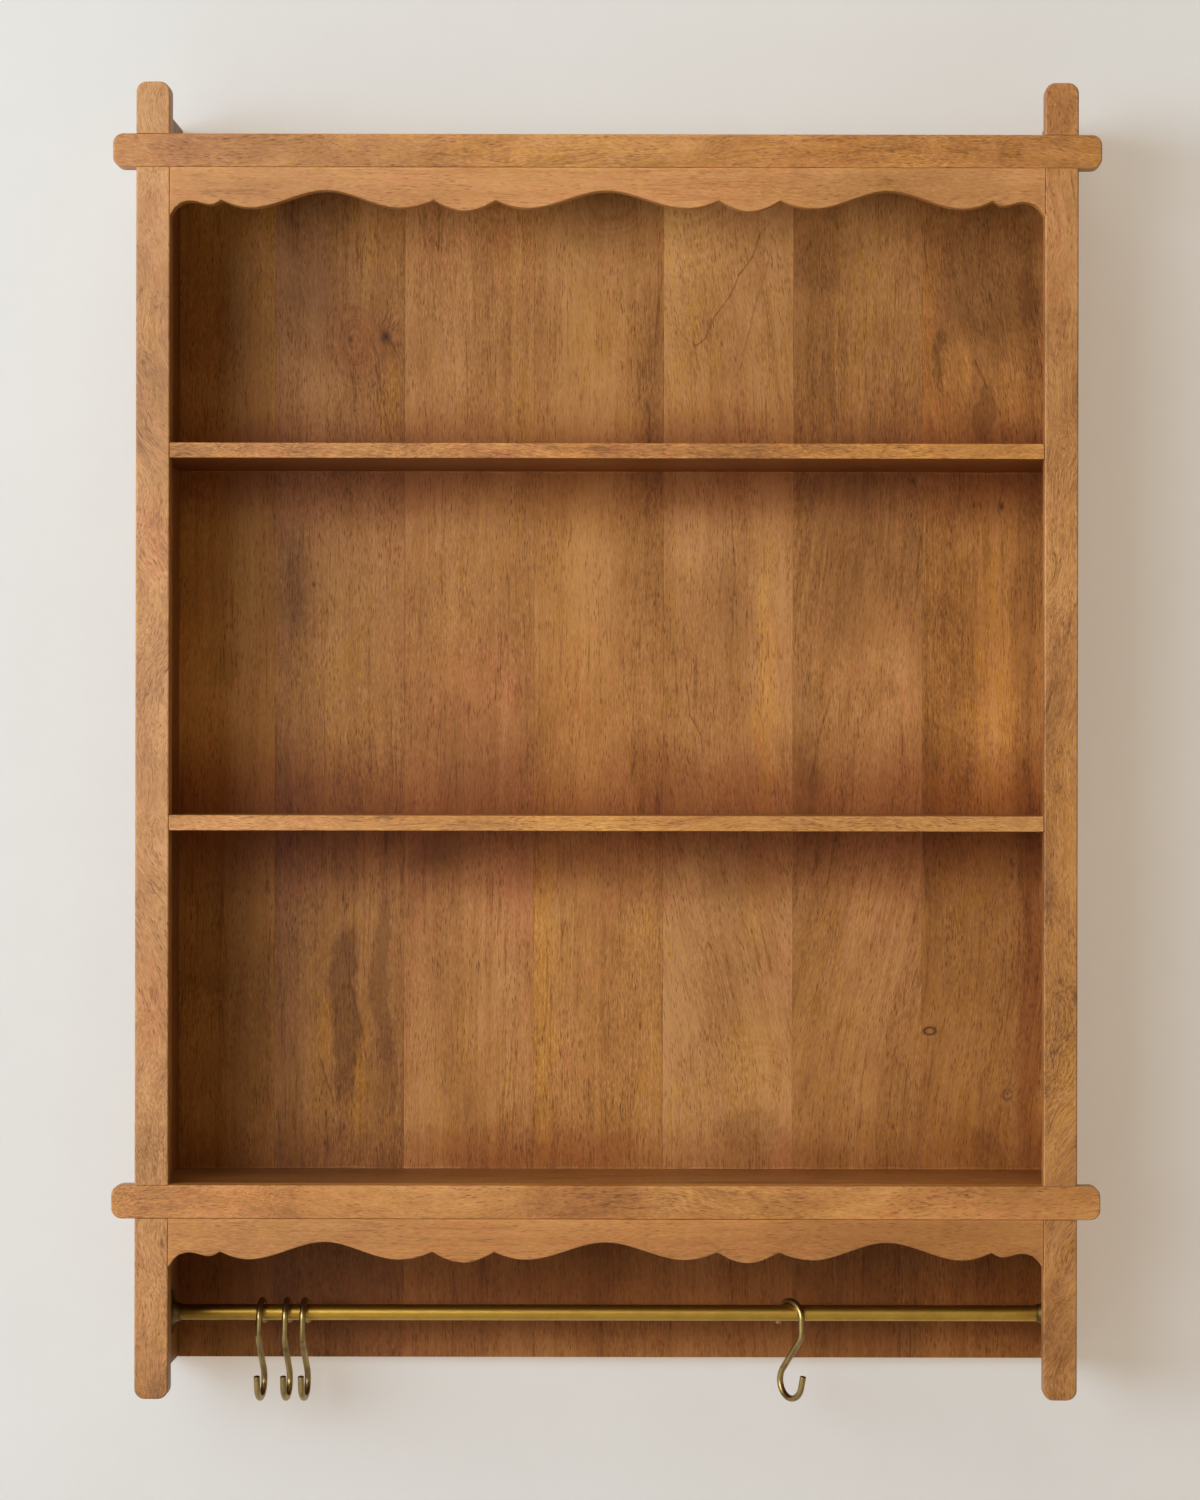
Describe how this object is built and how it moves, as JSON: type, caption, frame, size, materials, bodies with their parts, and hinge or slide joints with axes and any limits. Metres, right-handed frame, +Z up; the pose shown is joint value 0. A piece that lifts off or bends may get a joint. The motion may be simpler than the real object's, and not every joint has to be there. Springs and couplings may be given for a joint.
{
  "type": "wall shelf",
  "caption": "Wooden wall shelf with a crossed post-and-rail front, a shallow case with shelves, scalloped valances and a brass rod with loose S-hooks.",
  "frame": {"origin": "on the wall plane, midway between the entry holes of the two keyhole plates", "axes": "+X to the viewer's right, +Y into the wall, +Z up"},
  "size_m": [0.762, 0.152, 1.0292],
  "materials": {
    "frame_wood": "satin waxed mango-like wood, honey brown",
    "case_wood": "satin waxed mango-like wood, a little darker",
    "back_wood": "satin waxed mango-like staves of changing tone",
    "batten_wood": "plain sanded wood",
    "dowel_wood": "plain beech dowel",
    "brass": "antique satin brass",
    "steel": "zinc plated"
  },
  "bodies": {
    "shelf": {"left_post": "frame_wood", "right_post": "frame_wood", "top_rail": "frame_wood", "bottom_rail": "frame_wood", "top_valance": "frame_wood", "bottom_valance": "frame_wood", "left_side_panel": "case_wood", "right_side_panel": "case_wood", "top_board": "case_wood", "upper_shelf": "case_wood", "middle_shelf": "case_wood", "bottom_board": "case_wood", "back_stave_1": "back_wood", "back_stave_2": "back_wood", "back_stave_3": "back_wood", "back_stave_4": "back_wood", "back_stave_5": "back_wood", "back_stave_6": "back_wood", "back_stave_7": "back_wood", "hanging_rail": "batten_wood", "back_batten": "batten_wood", "left_keyhole_plate": "steel", "right_keyhole_plate": "steel", "hook_rod": "brass", "left_flange": "brass", "right_flange": "brass", "post_dowels": "dowel_wood", "rail_dowels": "dowel_wood", "valance_dowels": "dowel_wood", "back_screws": "steel", "keyhole_screws": "steel", "flange_screws": "brass"},
    "hook_1": {"s_hook_1": "brass"},
    "hook_2": {"s_hook_2": "brass"},
    "hook_3": {"s_hook_3": "brass"},
    "hook_4": {"s_hook_4": "brass"}
  },
  "joints": [
    {"name": "hook_1_swing", "type": "hinge", "parent": "shelf", "child": "hook_1", "pos_m": [-0.274, -0.0665, -0.884], "axis": [-1, 0, 0], "range_deg": [-37, 80]},
    {"name": "hook_2_swing", "type": "hinge", "parent": "shelf", "child": "hook_2", "pos_m": [-0.254, -0.0665, -0.884], "axis": [-1, 0, 0], "range_deg": [-37, 80]},
    {"name": "hook_3_swing", "type": "hinge", "parent": "shelf", "child": "hook_3", "pos_m": [-0.24, -0.0665, -0.884], "axis": [-1, 0, 0], "range_deg": [-37, 80]},
    {"name": "hook_4_swing", "type": "hinge", "parent": "shelf", "child": "hook_4", "pos_m": [0.144, -0.0665, -0.884], "axis": [-1, 0, 0], "range_deg": [-39, 80]}
  ]
}
